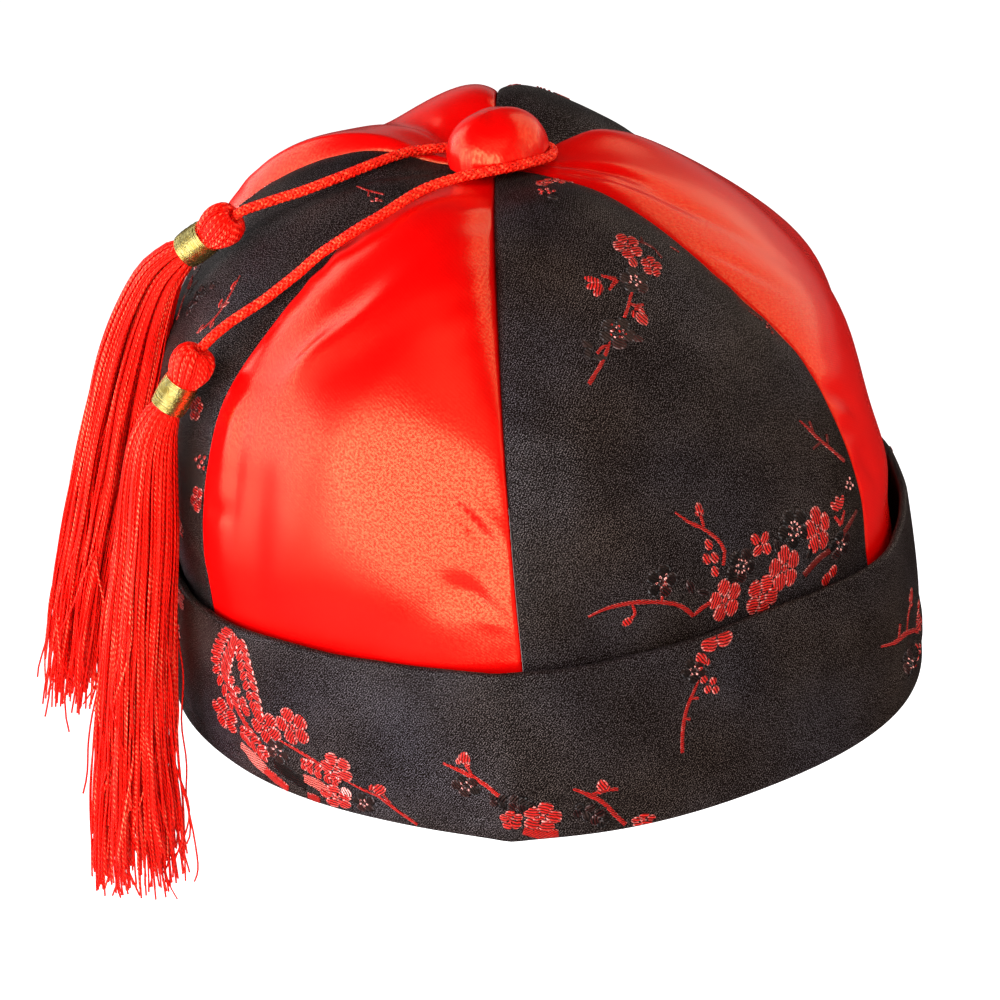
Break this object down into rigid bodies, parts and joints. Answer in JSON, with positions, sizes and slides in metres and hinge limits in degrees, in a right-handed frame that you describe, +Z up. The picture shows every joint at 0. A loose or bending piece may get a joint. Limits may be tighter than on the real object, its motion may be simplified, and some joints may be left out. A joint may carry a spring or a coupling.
{
  "type": "mandarin costume hat",
  "caption": "Round puffed hat of red satin and black brocade gores with a turned-up brocade cuff, a covered top button, and a cord ending in long red tassels.",
  "frame": {"origin": "centre of the head opening, in the plane of the cuff's bottom fold, where a head holds the hat up", "axes": "+Z up through the crown's button, +X towards the wearer's left, -Y out of the hat's front"},
  "size_m": [0.236, 0.1995, 0.1972],
  "materials": {
    "red_satin": "polyester satin, glossy and smooth",
    "black_brocade": "black twill-faced brocade with woven red and black plum blossom sprigs",
    "red_cord": "twisted rayon cord, soft sheen",
    "red_tassel_thread": "rayon tassel strands, soft sheen",
    "gold_thread": "metallic gold thread, wound"
  },
  "bodies": {
    "root": {"gore_black_front_right": "black_brocade", "gore_red_right": "red_satin", "gore_black_back_right": "black_brocade", "gore_red_back_left": "red_satin", "gore_black_left": "black_brocade", "gore_red_front_left": "red_satin", "cuff": "black_brocade", "top_button": "red_satin", "cord_left": "red_cord", "cord_front": "red_cord", "tassel_head_left": "red_tassel_thread", "tassel_band_left": "gold_thread", "tassel_skirt_left": "red_tassel_thread", "tassel_head_front": "red_tassel_thread", "tassel_band_front": "gold_thread", "tassel_skirt_front": "red_tassel_thread"}
  },
  "joints": []
}
